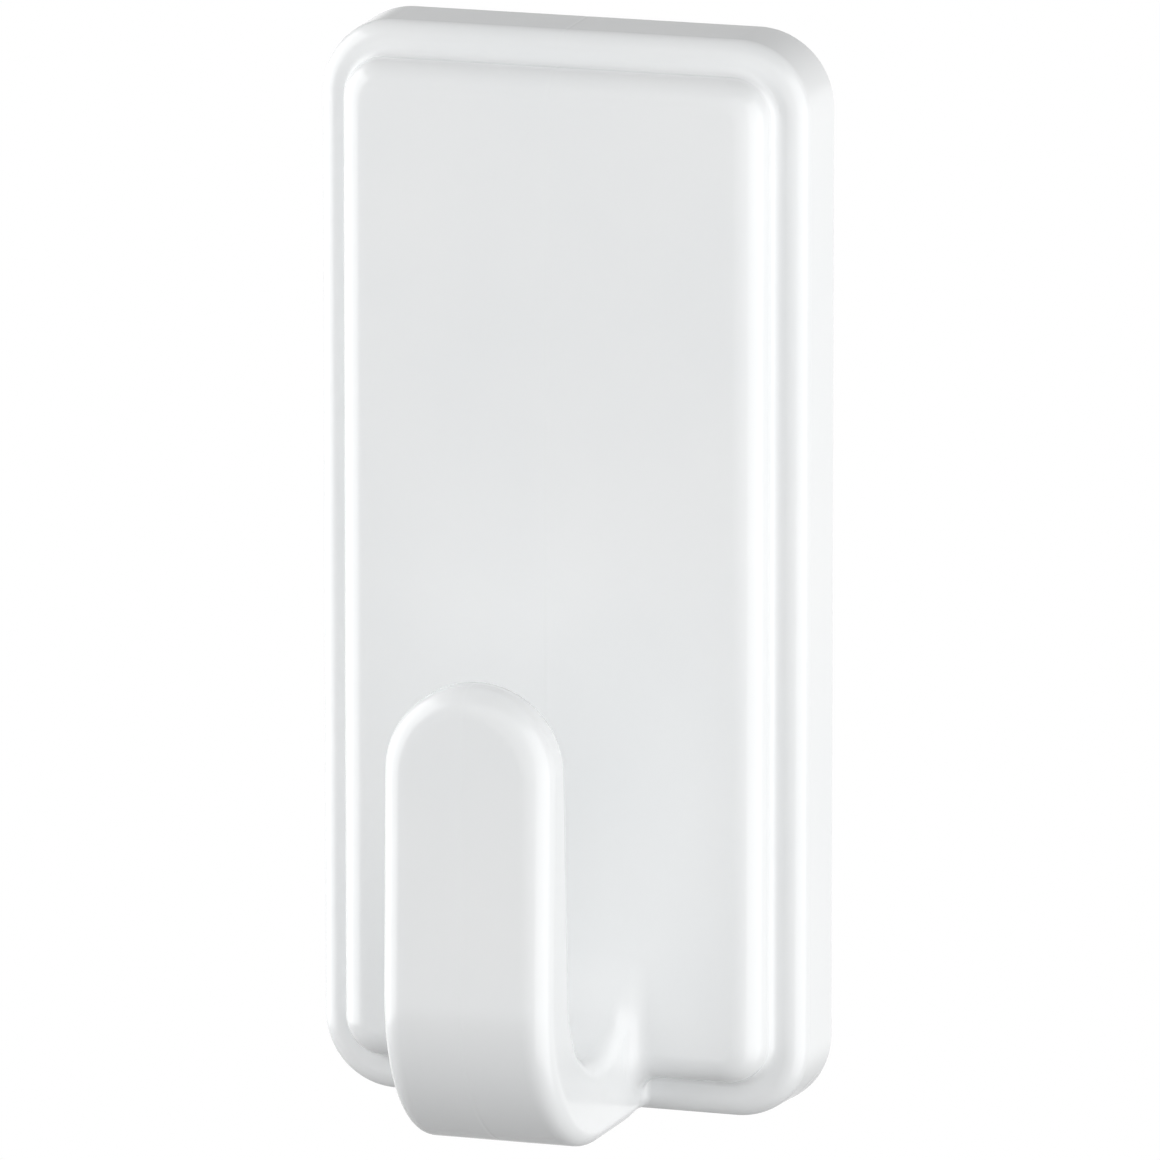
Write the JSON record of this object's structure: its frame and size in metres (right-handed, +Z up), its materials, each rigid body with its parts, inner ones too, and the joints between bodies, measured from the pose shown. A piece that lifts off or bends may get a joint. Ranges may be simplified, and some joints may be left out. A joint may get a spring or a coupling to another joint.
{
  "type": "adhesive wall hook",
  "caption": "White adhesive wall hook: a rounded stepped cover plate with an integral J hook slides onto a base held to the wall by a stretch-release strip with a pull tab.",
  "frame": {"origin": "on the wall plane, behind the middle of the cover plate", "axes": "+Z up along the plate, +Y into the wall, -Y out towards the room, +X to the right seen from the front"},
  "size_m": [0.03, 0.0228, 0.0636],
  "materials": {
    "cover_plastic": "glossy injection-moulded white",
    "base_plastic": "satin white",
    "strip_foam": "matt, slightly tacky off-white",
    "tab_film": "thin folded film"
  },
  "bodies": {
    "wall_base": {"mounting_base": "base_plastic", "adhesive_strip": "strip_foam"},
    "cover": {"hook_cover": "cover_plastic"},
    "tab": {"pull_tab": "tab_film"}
  },
  "joints": [
    {"name": "cover_slide", "type": "slide", "parent": "wall_base", "child": "cover", "axis": [0, 0, 1], "range_m": [0, 0.056]},
    {"name": "tab_pull", "type": "slide", "parent": "wall_base", "child": "tab", "axis": [0, 0, -1], "range_m": [0, 0.114], "stiffness_N_per_m": 220, "deforming": ["adhesive_strip"]}
  ]
}
